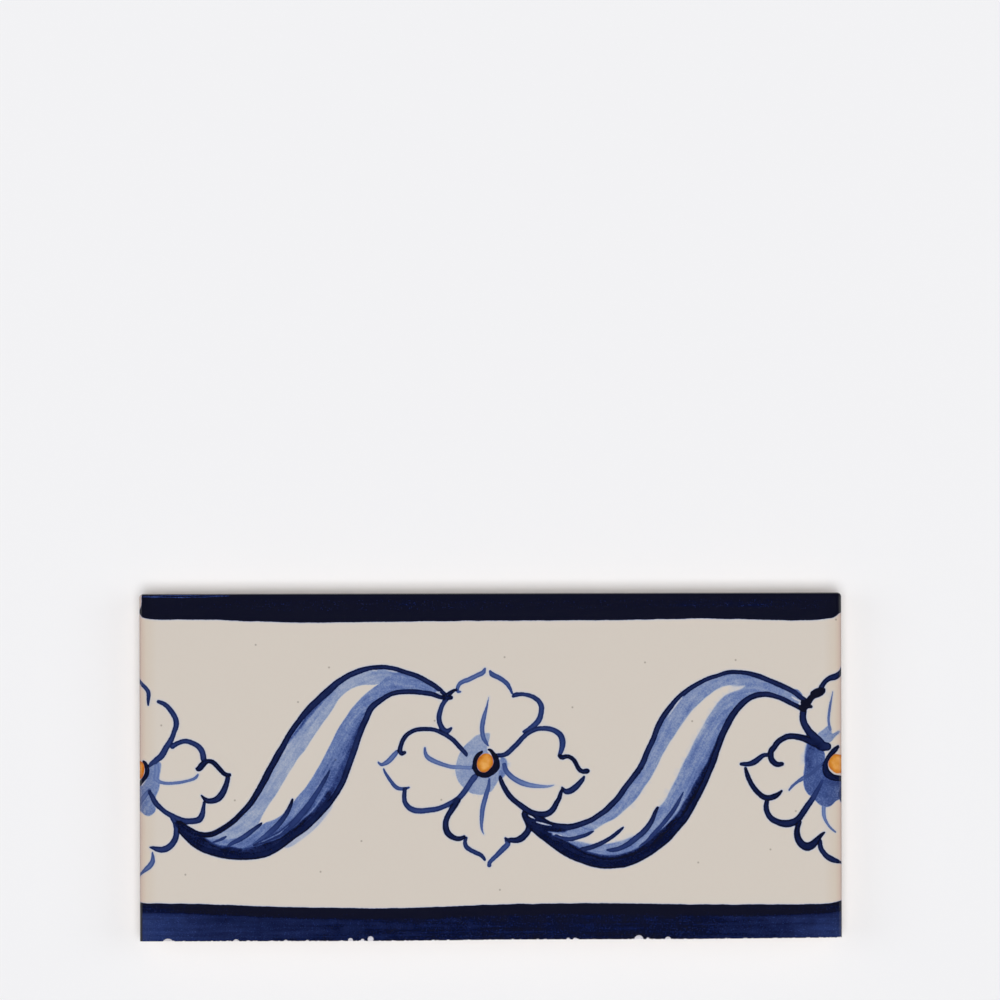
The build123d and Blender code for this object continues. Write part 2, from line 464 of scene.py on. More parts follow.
stroke(0.62, (-67.46, -16.89, 0.35), (-67.37, -17.79, 0.65), (-67.46, -18.74, 0.95),
       (-67.98, -19.6, 1.05), (-68.76, -20.29, 0.9), (-69.36, -20.87, 0.6), (-70, -21.6, 0.4),
       (-71, -22.9, 0.4))
stroke(0.52, (-66.86, -2.13, 0.8), (-66.22, -2.65, 0.7), (-65.22, -3.03, 0.6),
       (-63.83, -3.13, 0.6), (-62.45, -3.01, 0.6), (-61.07, -2.77, 0.55), (-59.69, -2.42, 0.55),
       (-58.79, -2.01, 0.6), (-58.39, -1.56, 0.5), (-58.27, -1.31, 0.3))
stroke(0.6, (-67.98, -4.47, 0.7), (-68.84, -5.5, 0.9), (-69.7, -6.7, 0.9), (-70.4, -8.0, 0.9))
stroke(0.52, (-66.6, 0.55, 0.8), (-66.5, -0.8, 1.0), (-66.7, -2.0, 0.9))
stroke(1.0, (-69.27, 1.25, 0.5), (-68.88, 0.81, 0.75), (-68.55, 0.03, 0.9), (-68.43, -0.74, 0.95),
       (-68.64, -1.52, 0.9), (-69.15, -2.21, 0.8), (-69.62, -2.82, 0.75), (-69.91, -3.43, 0.5))
wash(0.42, (-68.1, 1.0), (-67, 1.3), (-65.8, 1.0), (-65.8, -0.6), (-66, -2), (-66, -3.6),
     (-66.3, -4.8), (-66.8, -6.2), (-66.8, -8.3), (-67.2, -9.1), (-68.1, -9.6), (-69, -9.4),
     (-69.7, -8.8), (-70.6, -8.4), (-71, -6), (-70.6, -4), (-69.4, -3.4), (-68.4, -1.6))
ochres.append(smooth([(-71, 1.5), (-69.8, 1.3), (-69.3, 1.0), (-69.05, 0.4), (-69, -0.5),
                      (-69.15, -1.4), (-69.5, -2.0), (-70, -2.2), (-71, -2.4)], closed=True))

# The flower that the right edge cuts through, with the knot that joins it to its ribbon
stroke(0.95, (70.4, 20.4, 0.3), (69.7, 18.95, 0.5), (69.36, 18.26, 1.1), (68.6, 17.83, 1.25),
       (67.6, 17.53, 1.1), (66.76, 16.87, 1), (66.1, 15.9, 1.05), (65.8, 14.97, 1.2))
stroke(1.12, (66.3, 14.9, 1.0), (65.4, 14.6, 1.7), (64.3, 14.0, 1.3), (63.5, 13.1, 1.3),
       (62.8, 12.2, 1.5), (62.4, 11.7, 1.5))
stroke(1.12, (64.3, 14.5, 1.1), (65.3, 15.0, 1.2), (66.4, 15.2, 0.9))
stroke(1.12, (62.3, 12.7, 0.9), (63.2, 12.2, 1.1), (63.9, 11.9, 0.6))
stroke(0.97, (62.4, 11.1, 1.3), (62.25, 9.97, 1.35), (62.4, 8.93, 1.4), (62.85, 7.9, 1.5),
       (63.55, 6.85, 1.6), (64.4, 5.9, 1.9), (65.2, 4.95, 2.2), (66.06, 4.1, 2), (67.1, 3.9, 1.6))
stroke(1.0, (65.4, 4.1, 1.2), (64.5, 4.7, 1.5), (63.4, 5.2, 1.45), (62.2, 5.65, 1.3),
       (60.6, 6.0, 1.25), (59.3, 5.9, 1.2), (58.3, 5.5, 1.15), (57.3, 4.85, 1.15),
       (56.6, 3.9, 1.15), (56.0, 3.2, 1.2), (55.85, 2.2, 1.15), (56.05, 1.3, 1.2),
       (56.7, 0.6, 1.15), (57.4, 0.36, 1), (58.04, 0.45, 0.9))
stroke(0.95, (55.45, 2.27, 0.8), (54.5, 2.2, 0.9), (53.55, 1.57, 1.05), (52.7, 0.97, 1.2),
       (51.65, 0.54, 1.1), (50.6, 0.48, 0.9), (49.95, 0.48, 0.7))
stroke(1.0, (50.8, -0.4, 0.6), (51.1, -1.45, 0.85), (51.6, -2.75, 0.95), (52.35, -4.05, 1),
       (53.3, -5.26, 1.05), (54.3, -6.04, 1.1), (55.4, -6.3, 1.1), (56.4, -6.1, 1.15),
       (57.35, -5.6, 0.9), (58.04, -4.95, 0.5))
stroke((0.97, 0.97, 0.97, 0.8), (55.06, -6.96, 0.9), (54.9, -8.2, 1.05), (55.2, -9.4, 1.1),
       (55.97, -10.4, 1.2), (57.1, -11.06, 1.25), (58.3, -11.4, 1.4), (59.5, -11.4, 1.5),
       (60.7, -10.97, 1.4), (61.66, -10.2, 1.25), (62.4, -9.07, 1.25), (63.2, -7.8, 1.2),
       (64.1, -6.56, 1.1), (64.85, -5.3, 1), (65.6, -3.9, 0.75), (66.07, -2.84, 0.6))
stroke(1.0, (61.5, -11.06, 1), (61.15, -12.2, 1), (61.06, -13.3, 1.2), (61.3, -14.5, 1.35),
       (62, -15.55, 1.6), (63, -16, 1.7), (64, -15.7, 1.6), (64.8, -15, 1.3), (65.5, -14.2, 0.9),
       (66.07, -13.56, 0.7), (66.5, -13.2, 0.4))
stroke(0.95, (65.6, -14.95, 0.9), (65.75, -16.15, 0.95), (66.2, -17.1, 1), (67, -17.98, 1.1),
       (67.96, -18.5, 1.15), (69, -18.84, 0.9), (69.9, -19.2, 0.4), (70.6, -19.5, 0.4))
stroke(0.5, (66.45, -7.86, 0.8), (66.4, -9.24, 0.8), (66.6, -10.45, 0.65), (67.2, -11.6, 0.5),
       (67.9, -12.4, 0.45), (68.7, -13.1, 0.35))
stroke(0.6, (62.8, -2.2, 1), (61.9, -2.6, 0.8), (61, -3.2, 0.55), (60.1, -4.05, 0.5),
       (59.5, -4.8, 0.35))
stroke(0.52, (68.27, 14.93, 0.15), (68.05, 13.75, 0.3), (67.76, 12.4, 0.45), (67.5, 11, 0.5),
       (67.4, 9.6, 0.5), (67.5, 8.4, 0.5), (67.7, 7.4, 0.6))
stroke(0.72, (62.8, -2.2, 0.5), (64.2, -1.2, 0.6), (65.4, -0.2, 0.6), (66.3, 0.6, 0.5))
stroke(0.66, (64.9, 2.6, 0.3), (65.1, 1.2, 0.45), (64.9, -0.2, 0.4), (64.6, -1.6, 0.3))
stroke(0.62, (68.2, -2.8, 0.3), (67.6, -4.4, 0.5), (67.2, -6, 0.3))
wash(0.68, (63.2, 4.8), (62.7, 2.8), (62.7, 0.6), (63.3, -0.8), (64.4, -0.4), (64.6, 1.6),
     (64.9, 3.6), (64.2, 4.9), soft=0.7)
wash(0.7, (66.4, -2.2), (68.4, -2.9), (70.8, -2.9), (70.8, -4.6), (68.4, -4.2), (66.6, -3.6),
     soft=0.6)
stroke(1.0, (69.3, 3.9, 0.6), (68.6, 3.2, 1), (67.6, 2.2, 0.95), (66.9, 0.97, 0.9),
       (66.7, -0.24, 1.2), (67.1, -1.4, 1.5), (68.1, -2.15, 1.3), (69.3, -2.4, 1.2),
       (70.6, -2.5, 1.1))
wash(0.6, (63.3, 3.2), (62.96, 1.66), (62.6, -0.07), (62.36, -1.45), (62.3, -3), (62.6, -4.4),
     (63.3, -5.6), (63.8, -5.95), (64.9, -7), (65.7, -7.7), (66.9, -8.1), (67.96, -7.86),
     (68.8, -7), (69.8, -6.5), (70.8, -6), (70.8, -3), (68.5, -2.6), (66.5, -1), (66.6, 2.6),
     (65, 4.2))
stroke(0.84, (69.9, -4.4, 0.4), (69.65, -5.6, 0.6), (69.9, -7.0, 0.4))
wash(0.36, (65.2, 6.3), (66.4, 7.4), (67.3, 8.1), (68, 7.9), (68.1, 6.5), (69.4, 7.2), (69.9, 7),
     (68.8, 5.9), (67.8, 4.8), (66.4, 4.4))
ochres.append(smooth([(68.8, 2.5), (69.7, 2.35), (70.8, 1.7), (70.8, -0.9), (69.3, -1.4),
                      (68.65, -1.3), (67.97, -0.76), (67.4, -0.07), (67.3, 0.8), (67.6, 1.66),
                      (68.3, 2.35)], closed=True))

# The ribbon that hangs to the left of the middle flower
spines.append(smooth([(-8, 14.3), (-15, 16.8), (-22, 17.2), (-28, 14.2), (-32.5, 8.5), (-36, 1.8),
                      (-39.5, -4.6), (-43.5, -10.2), (-48.5, -14.3), (-54, -15.6), (-59.5, -14),
                      (-62.5, -11.5)]))
stroke((0.95, 0.95, 0.95, 0.99, 1.03, 1.04), (-8.37, 13.88, 0.7), (-10.1, 15.39, 0.95),
       (-11.91, 16.75, 1), (-14.42, 18.05, 1), (-17.18, 19.04, 0.95), (-19.95, 19.84, 0.88),
       (-22.63, 19.95, 0.92), (-25.8, 19.33, 1.1), (-29.4, 17.65, 1.2), (-32.6, 15, 1.4),
       (-36.2, 11.6, 1.3), (-39.2, 7.9, 1.15), (-41.6, 3.9, 1.2), (-43.9, -0.3, 1.35),
       (-46, -4.2, 1.3), (-47.98, -7.23, 1.2), (-50.31, -9.74, 1.1), (-52.82, -11.82, 1.1),
       (-55.66, -13.29, 1.1), (-58.43, -13.2, 1.1), (-60.85, -11.82, 1), (-61.9, -11.1, 0.9))
stroke((0.95, 0.95, 0.95, 1.0, 1.02, 1.02), (-8.8, 13.93, 0.7), (-9.84, 13.93, 0.85),
       (-11.91, 14.63, 0.95), (-14.68, 15.03, 1), (-17.44, 15.03, 1), (-19.69, 14.68, 0.95),
       (-21.76, 13.44, 1.1), (-23.67, 11.91, 1.3), (-24.9, 9.48, 1.25), (-26.05, 6.7, 1.2),
       (-27.0, 4.0, 1.2), (-27.7, 1.9, 1.2), (-28.6, -0.6, 1.15), (-29.6, -3.1, 1.15),
       (-31.0, -5.5, 1.2), (-33.4, -8.5, 1.25), (-36.7, -11.7, 1.35), (-39.0, -13.4, 1.4),
       (-41.6, -15.3, 1.4), (-44.2, -16.9, 1.4), (-47, -17.6, 1.4), (-50.1, -17.75, 1.4),
       (-53.5, -17.4, 1.4), (-56.2, -16.65, 1.3), (-58.7, -15.5, 1.2), (-60.5, -14.1, 1.1),
       (-61.8, -12.6, 1))
wash(0.31, (-21, 19.6), (-25.8, 19.3), (-29.4, 17.6), (-32.6, 15), (-36.2, 11.6), (-39.2, 7.9),
     (-41.6, 3.9), (-43.9, -0.3), (-46, -4.2), (-49.1, -8.5), (-52.8, -11.8), (-56.8, -13.6),
     (-54.5, -14.6), (-51.5, -14.9), (-49.4, -14.0), (-47.6, -12.6), (-46.2, -11.0), (-45, -8.7),
     (-42.5, -4.9), (-40.5, -1.6), (-38.6, 1.5), (-36.7, 3.9), (-34.1, 7.9), (-31.2, 11.9),
     (-29.8, 14), (-27.9, 15.55), (-25.7, 16.4), (-22.5, 16.6), (-19.5, 18.0))
wash(0.45, (-10, 14.7), (-13.5, 15.0), (-17.4, 15.1), (-20.7, 14.2), (-23.6, 12), (-25.5, 8.4),
     (-27.9, 1.9), (-29.8, -3.0), (-33.5, -8.4), (-39.0, -13.4), (-44.2, -16.5), (-50, -17),
     (-54.5, -16), (-57.2, -14.2), (-55.5, -14.1), (-53, -14.3), (-50.6, -14.0), (-48.4, -12.9),
     (-45.5, -11.3), (-42.9, -10.2), (-40.8, -8.7), (-38.9, -6.25), (-36.8, -3.8), (-34.2, 0.3),
     (-31.9, 4.6), (-29.6, 8.96), (-26.7, 12.95), (-23.6, 15.7), (-22, 16.8), (-20.6, 18.0),
     (-17.9, 19.0), (-14.4, 18.0), (-11.9, 16.6))
wash(0.37, (-13, 17.0), (-17.5, 18.6), (-21.5, 19.5), (-24.5, 19.2), (-24.0, 18.2), (-20.5, 17.6),
     (-17, 17.4), soft=0.8)
wash(0.62, (-29.0, 17.6), (-32.4, 15.1), (-36, 11.8), (-39, 7.9), (-41.2, 4.3), (-40.2, 4.6),
     (-38.2, 7.2), (-36.2, 9.6), (-34.5, 11.6), (-33.0, 13.3), (-31.2, 15.3), soft=0.7)
wash(0.46, (-31.4, 14.4), (-33.2, 12.3), (-35.1, 10.1), (-37.1, 7.6), (-38.2, 5.7), (-36.4, 7.5),
     (-34.4, 9.9), (-32.6, 12.2), soft=0.7)
wash(0.56, (-24.5, 11.5), (-26.2, 6.7), (-27.9, 1.9), (-29.8, -3.0), (-33.5, -8.4), (-39.0, -13.4),
     (-44.2, -16.9), (-50.1, -17.2), (-48.6, -14.6), (-45.8, -13.4), (-42.3, -11.6), (-38.8, -8.8),
     (-36.2, -5.9), (-33.6, -1.8), (-31.2, 2.4), (-28.8, 6.6), (-26.6, 10.2), soft=1.4)
wash(0.76, (-25.2, 9.8), (-26.2, 6.7), (-27.9, 1.9), (-29.8, -3.0), (-33.5, -8.4), (-37.0, -11.6),
     (-37.3, -10.6), (-36.1, -9.2), (-33.5, -6.1), (-32.3, -4.5), (-31.2, -2.5), (-30.1, 0.0),
     (-29.4, 1.8), (-28.2, 4.4), (-27.2, 7.0), soft=0.7)
wash(0.905, (-31.2, -4.4), (-33.5, -8.4), (-39.0, -13.4),
     (-44.2, -16.9), (-50.1, -17.75), (-56.2, -16.65), (-60.5, -14.1), (-61.9, -12),
     (-58.5, -13.2), (-56.8, -14.0), (-55.2, -15.0), (-53.4, -15.5), (-51.5, -15.7),
     (-49.5, -16.0), (-47.2, -15.6), (-44.8, -14.9), (-42.2, -13.9), (-39.9, -12.2),
     (-37.7, -10.5), (-35.6, -8.6), (-33.8, -6.6), (-32.5, -4.6), soft=0.6)
wash(0.6, (-35.6, -5.6), (-37.6, -7.9), (-39.8, -10.2), (-42.2, -11.9), (-45.2, -13.9),
     (-47.4, -15.2), (-44.8, -15.2), (-41.9, -14), (-38.6, -12), (-36, -9.4), soft=0.7)
stroke((0.9, 0.85, 0.85, 0.85, 0.9), (-32.14, -0.57, 0.25), (-33.04, -2.44, 0.75),
       (-34.42, -4.78, 0.95), (-36.32, -7.63, 1.2), (-38.6, -10.3, 1.3), (-40.7, -12.2, 1.2),
       (-43.0, -13.7, 1.0), (-45.4, -14.8, 0.7), (-47.3, -15.5, 0.3))
stroke((1.0, 0.85, 0.7), (-39.57, -6.38, 0.45), (-39.87, -7.46, 0.7), (-40.99, -9.62, 0.95),
       (-42.63, -11.61, 1.15), (-44.62, -13.43, 1.0), (-46.1, -14.5, 0.7), (-47.4, -15.3, 0.3))
stroke((0.95, 0.85, 0.8), (-45.7, -11.1, 0.3), (-46.25, -11.56, 0.7), (-47.89, -12.85, 0.9),
       (-49.88, -14.24, 0.95), (-51.52, -15.1, 0.8), (-52.3, -15.6, 0.6))
stroke(1.0, (-62.4, -11.2, 1.0), (-61.2, -12.3, 1.3), (-59.6, -13.6, 1.2))
stroke(0.84, (-52.8, -13.75, 0.35), (-53.4, -14.15, 0.6), (-54.4, -14.6, 0.5), (-55.4, -14.9, 0.3))
lift_or_glint(0.35, (-32.7, -4.2, 0.1), (-34.1, -6.7, 0.2), (-35.9, -8.8, 0.22), (-37.9, -10.6, 0.1))
lift_or_glint(0.4, (-40.2, -11.5, 0.1), (-42.2, -13.1, 0.25), (-44.6, -14.4, 0.28), (-46.2, -15, 0.12))
lift_or_glint(0.33, (-37.2, 9.6, 0.1), (-38.2, 8.2, 0.2), (-39.6, 6.2, 0.12))
lift_or_glint(0.08, (-10.2, 14.95, 0.3), (-10.7, 14.9, 0.35))
lift_or_glint(0.1, (-22.6, 19.35, 0.2), (-23.4, 19.3, 0.25))
wash(0.22, (-31.6, -6.2), (-33.5, -8.9), (-36.2, -11.8), (-38.8, -14.2), (-41.2, -15.9),
     (-39.6, -15.7), (-36.2, -13.3), (-33.4, -10.5), (-31.6, -7.9), soft=0.35)

# The ribbon that hangs to the right of it
spines.append(smooth([(62.5, 12.5), (57, 15.5), (51, 16.4), (45.5, 14.0), (41, 8.5), (37.5, 1.5),
                      (34, -5), (30, -10.8), (25.2, -14.8), (19.5, -15.3), (13.5, -13.2),
                      (7.5, -10.5)]))
stroke(0.95, (62.5, 13.3, 1), (60.8, 14.6, 1.05), (58.6, 15.85, 1.05), (56.4, 16.8, 1),
       (53.8, 17.85, 1), (51.2, 18.6, 0.9), (48.2, 18.86, 0.85), (44.8, 18, 0.85),
       (42, 16.9, 0.9), (38.9, 14.9, 1), (36.5, 12.7, 1.05), (34.7, 10.4, 1.05), (33.4, 7.95, 1.1),
       (32.4, 5.5, 1.1), (31.2, 2.8, 1.1), (30.07, 0.26, 1.15), (28.6, -1.9, 1.15),
       (26.8, -4.3, 1.15), (24.8, -6.8, 1.15), (22.5, -9, 1.1), (19.7, -10.75, 1.05),
       (16.4, -11.85, 1.15), (13, -11.9, 1.4), (10.4, -10.9, 1.1), (8.0, -9.9, 0.9))
stroke((0.97, 0.97, 1.0, 1.03, 1.03, 1.03), (62.1, 11.5, 1), (60.1, 12.5, 0.95), (57.6, 13.7, 1),
       (54.8, 14.4, 1.1), (52, 13.8, 1.1), (49.9, 12.2, 1.25), (48.06, 9.96, 1.35),
       (46.4, 6.6, 1.4), (45.2, 3.7, 1.4), (44.4, 1.2, 1.4), (43.3, -1.4, 1.4), (42.1, -4.0, 1.4),
       (40.5, -7.2, 1.4), (39.1, -9.7, 1.4), (37.3, -12, 1.4), (34.9, -14.5, 1.5),
       (31.8, -16.9, 1.5), (28.4, -18.7, 1.5), (25.6, -19.5, 1.5), (22.0, -19.5, 1.5),
       (18.9, -18.8, 1.4), (16.1, -17.7, 1.4), (13.5, -16.2, 1.3), (11.2, -14.5, 1.2),
       (9.0, -12.9, 1), (7.4, -11.4, 0.8))
wash(0.385, (51.4, 18.3), (48.2, 18.7), (44.8, 18), (42, 16.9), (38.9, 14.9), (36.5, 12.7),
     (34.7, 10.4), (33.4, 8), (31.2, 2.8), (28.6, -1.9), (25.8, -5.6), (22.5, -9), (19.7, -10.75),
     (16.4, -11.85), (13.8, -12.3), (14.4, -14.0), (16, -14.3), (17.8, -13.9), (20.4, -12.7),
     (22.9, -11.3), (25.3, -9.9), (27.4, -8.1), (29.3, -6.05), (31, -3.6), (32.4, -1.56),
     (33.6, 0.9), (34.8, 3.3), (37.5, 7.4), (40.4, 11.4), (43.9, 14.5), (45.8, 15.7),
     (48.2, 16.3), (51, 16.1), (52.6, 16.6), soft=0.35)
wash(0.41, (61.6, 13.4), (60.6, 14.2), (58.5, 15.5), (55.15, 17.3), (51.6, 18.3), (51.2, 17.2),
     (50.2, 15.6), (46.7, 14.1), (43.9, 10.7), (41.3, 6.2), (38.6, 1), (35.8, -4.8), (34.5, -7.1),
     (33.2, -8.4), (32.0, -10.9), (30.2, -12.9), (27.9, -14), (25.5, -14.9), (23.7, -15.3),
     (21.4, -15.4), (19.3, -15.2), (15.9, -14.7), (16.4, -16), (20.8, -18), (25, -18.2),
     (29.8, -16.9), (34.5, -13.5), (38.5, -9.3), (41.1, -4.8), (43.3, -1.4), (45.2, 3.7),
     (46.6, 7), (49.9, 12.2), (52, 13.8), (54.8, 14.4), (57.6, 13.7), (60.1, 12.5), (61.5, 12.4),
     soft=0.6)
wash(0.5, (51.6, 14.6), (49, 12.2), (46.6, 7.4), (44.9, 3.5), (42.9, -1.2), (40.4, -6.2),
     (37.6, -10.2), (35.6, -10.4), (37.8, -6.6), (40.0, -2.2), (42.1, 2.4), (44.2, 7.0),
     (46.6, 11.2), (49.2, 14.2), soft=1.3)
wash(0.36, (47.5, 18.2), (50.5, 18.3), (54, 17.6), (55.5, 16.6), (53, 16.2), (50.5, 16.0),
     (48, 16.2), soft=1.0)
wash(0.5, (59.9, 15.1), (60.9, 15.35), (61.7, 15.0), (62.3, 14.2), (62, 13.6), (60.8, 14.3))
wash(0.93, (47.2, 9.2), (45.2, 3.7), (43.3, -1.4), (40.5, -7.2), (37.3, -12), (31.8, -16.9),
     (25.6, -19.5), (18.9, -18.8), (13.5, -16.2), (9.0, -12.9), (7.6, -11), (9.4, -10.4),
     (12.7, -11.8), (15.5, -12.2), (14.8, -13.0), (12.6, -13.2), (12.4, -13.6), (14.3, -14.3),
     (15.8, -15.1), (18.5, -16.5), (20.8, -17.2), (23.9, -17.6), (27.05, -17.1), (29.8, -15.9),
     (32.2, -14), (34.65, -11.8), (37.1, -9.3), (39, -6.2), (40.35, -3.6), (41.7, -1.4),
     (43.1, 1), (44.1, 3.3), (45.5, 6.2), soft=0.6)
stroke(0.87, (20.5, -12.8, 0.3), (19.8, -13.15, 0.6), (18.7, -13.7, 0.75), (17.3, -14.1, 0.85),
       (15.75, -14.4, 0.9), (14.2, -14.3, 0.9), (13, -13.9, 0.8))
stroke(0.92, (26.4, -12.1, 0.35), (25.9, -12.6, 0.6), (24.1, -14, 0.8), (21.9, -15.3, 0.9),
       (19.8, -16.1, 1), (18.2, -16.5, 0.9))
stroke((0.97, 0.87, 0.85), (33.3, -8.17, 0.5), (32.9, -8.9, 0.7), (31.97, -11, 0.95),
       (30.4, -13.06, 1.15), (28.25, -14.8, 1.2), (26, -16.2, 1), (24.2, -16.65, 0.8),
       (23.2, -16.6, 0.4))
stroke(0.84, (38.36, -5.1, 0.25), (37.4, -7.2, 0.7), (35.9, -9.4, 0.85), (34.04, -11.7, 0.85),
       (32.4, -13.5, 0.8), (31.0, -14.9, 0.5), (29.6, -15.9, 0.2))
lift_or_glint(0.3, (38.7, -6.1, 0.1), (37.1, -8.9, 0.25), (35.4, -11.0, 0.22), (34.2, -12.2, 0.1))
pool(1.0, (6.2, -8.9), (7.6, -9.0), (9.6, -9.6), (12.6, -11.3), (14.2, -12.4), (12.4, -13.4),
     (9.6, -13.0), (7.6, -11.7), (6.9, -10.6))
lift_or_glint(0.08, (7.5, -9.65, 0.2), (8.1, -10.0, 0.35), (8.7, -10.35, 0.2))
lift_or_glint(0.12, (9.1, -10.95, 0.3), (10.1, -11.25, 0.4), (11.2, -11.5, 0.35), (12.2, -11.75, 0.15))
lift_or_glint(0.33, (11.4, -12.95, 0.2), (12.8, -13.25, 0.4), (15.0, -13.5, 0.5))
lift_or_glint(0.04, (60.1, 13.8, 0.2), (60.8, 13.45, 0.35), (61.5, 13.1, 0.2))
lift_or_glint(0.12, (38.4, 14.0, 0.2), (37.2, 12.65, 0.3), (36.3, 11.4, 0.3), (35.3, 9.9, 0.15))

# The two bands, the upper one whole and the lower one cut through by the saw
pool(1.1, (-69.5, 34.6), (-69.55, 32.4), (-69.9, 31.3), (-69.6, 30.4), (-69.0, 29.9),
     (-65.6, 29.5), (-57.7, 29.5), (-37.8, 28.9), (-17.9, 29), (2, 29.2), (21.9, 29.2),
     (41.8, 29.5), (61.7, 29.1), (67.6, 29.5), (68.8, 29.85), (69.6, 30.5), (70.5, 31.2),
     (71, 33), (71, 35.6), (0, 35.6), (-69.3, 35.6))
# A painted reflection: a paler blue strip along the upper band's rounded top edge, at its left end
lift_or_glint(0.93, (-69.2, 34.1, 0.3), (-61, 34.15, 0.5), (-52, 34.2, 0.2))
# The lower band's tone runs paler toward its ends; the pale left end is a painted sheen, the
# glaze's reflection over the dark paint
pool((0.87, 0.97, 1.0, 1.02, 1.04, 1.05, 1.05, 1.06, 1.04, 1.0, 0.91), (-74, -27),
     (-68.6, -27.05), (-57.7, -27.2), (-37.8, -27.9), (-17.9, -28.1), (2, -27.4), (21.9, -27.2),
     (41.8, -27.5), (61.7, -27.5), (67.6, -27.3), (74, -27.1), (74, -40), (0, -40), (-74, -40))
# A near-black line down the lower band's left end, on the rounded edge
stroke(1.12, (-69.95, -27.5, 0.7), (-69.95, -30, 0.6), (-69.95, -34.6, 0.6))

# ---------------------------------------------------------------- glazed face
# The face, its rounded edges and the land below them carry the tin glaze. The skin has
# close points where paint or a chip ends and wide ones over bare glaze, and each point
# keeps how deep it lies inside the paint, so that the material can draw a brush's edge.

FAR = 9.0  # mm, farther than any brush reaches
HAIR = 0.05  # the thinnest that a brush's tip draws


def beside(a, b, places):
    """How far along the line from a to b each place lies, 0 to 1, and its offset from it."""
    run = b - a
    t = np.clip(((places - a) @ run) / max(run @ run, 1e-9), 0, 1)
    return t, places - a - t[:, None] * run


def stroke_depth(points, places):
    """Depth inside a brush stroke, in mm, and how far along it, for each place."""
    deep = np.full(len(places), -FAR)
    along = np.zeros(len(places))
    for i, (a, b) in enumerate(zip(points, points[1:])):
        t, off = beside(a[:2], b[:2], places)
        d = np.maximum(a[2] + (b[2] - a[2]) * t, HAIR) / 2 - np.hypot(*off.T)
        along = np.where(d > deep, (i + t) / (len(points) - 1), along)
        deep = np.maximum(deep, d)
    return deep, along


def area_depth(outline, places):
    """Depth inside an outline, in mm, and below zero outside it."""
    away = np.full(len(places), FAR)
    inside = np.zeros(len(places), bool)
    for a, b in zip(outline, np.roll(outline, -1, axis=0)):
        away = np.minimum(away, np.hypot(*beside(a, b, places)[1].T))
        crosses = (a[1] > places[:, 1]) != (b[1] > places[:, 1])
        if a[1] != b[1]:
            at_x = a[0] + (places[:, 1] - a[1]) * (b[0] - a[0]) / (b[1] - a[1])
            inside ^= crosses & (places[:, 0] < at_x)
    return np.where(inside, away, -away)


NEAR = 1.2  # a stroke is not looked at farther from it than this


def near(shape, places):
    """Which places lie in or near the box round a shape."""
    low, high = shape[:, :2].min(0) - NEAR, shape[:, :2].max(0) + NEAR
    return np.flatnonzero(np.all((places > low) & (places < high), axis=1))


WOBBLE = 2.4  # the hand's unevenness along an edge, in mm
WOBBLE_REACH = 0.1
HAND = 7
noise.seed_set(HAND)  # without it the wobble would change from run to run
OVERLAP = 0.08  # strokes this near to each other run together, and the darker one shows
LIFT_AND_GLINT_SOFTNESS = 0.2


def soft_edge(deep, width):
    """From 0 outside to 1 inside, over this width."""
    edge = np.clip(deep / width + 0.5, 0, 1)
    return edge * edge * (3 - 2 * edge)


def painting(places):
    """What the brush left at each place, with the painted reflection and sheen on the bands."""
    count = len(places)
    drift = [noise.noise_vector((x / WOBBLE, y / WOBBLE, 0.0))[:2] for x, y in places]
    places = places + WOBBLE_REACH * np.array(drift)
    field = {
        "line_depth": np.full(count, -FAR),
        "line_tone": np.zeros(count),
        "wash_tone": np.zeros(count),
        "wash_rim": np.ones(count),
        "ochre_depth": -np.ones(count),
        "flow_across": np.zeros(count),
        "flow_along": np.zeros(count),
    }
    nearest = field["line_depth"]
    for tone, shape in lines:
        spots = near(shape, places)
        if shape.shape[1] == 3:
            deep, along = stroke_depth(shape, places[spots])
        else:
            deep = area_depth(shape, places[spots])
            along = places[spots, 0] / LENGTH + 0.5
        tones = np.atleast_1d(tone)
        here = np.interp(along, np.linspace(0, 1, len(tones)), tones)
        kept = field["line_tone"][spots]
        closer = deep > nearest[spots]
        covers = (deep > -OVERLAP) & (nearest[spots] > -OVERLAP)
        field["line_tone"][spots] = np.where(
            covers, np.maximum(kept, here), np.where(closer, here, kept)
        )
        nearest[spots] = np.maximum(nearest[spots], deep)
    field["line_depth"] = np.clip(nearest, -1.0, 3.0)
    for tone, soft, outline in washes:
        spots = near(outline, places)
        deep = area_depth(outline, places[spots])
        field["wash_tone"][spots] = np.maximum(
            field["wash_tone"][spots], tone * soft_edge(deep, soft)
        )
        field["wash_rim"][spots] = np.minimum(field["wash_rim"][spots], np.abs(deep))
    for tone, shape in lifts_and_glints:
        spots = near(shape, places)
        deep, _ = stroke_depth(shape, places[spots])
        edge = np.clip(deep / LIFT_AND_GLINT_SOFTNESS + 0.5, 0, 1)
        field["wash_tone"][spots] += edge * (tone - field["wash_tone"][spots])
        field["line_depth"][spots] = np.minimum(field["line_depth"][spots], -deep)
        field["wash_rim"][spots] = np.minimum(field["wash_rim"][spots], np.abs(deep))
    for outline in ochres:
        spots = near(outline, places)
        deep = area_depth(outline, places[spots])
        field["ochre_depth"][spots] = np.maximum(field["ochre_depth"][spots], deep)
    for spine in spines:
        closest = np.full(count, FAR)
        passed = 0.0
        for a, b in zip(spine, spine[1:]):
            run = b - a
            length = np.hypot(*run)
            t, off = beside(a, b, places)
            away = np.hypot(*off.T)
            here = away < closest
            side = np.sign(run[0] * off[:, 1] - run[1] * off[:, 0])
            field["flow_across"] = np.where(here, side * away, field["flow_across"])
            field["flow_along"] = np.where(here, passed + t * length, field["flow_along"])
            closest = np.minimum(closest, away)
            passed += length
    return field


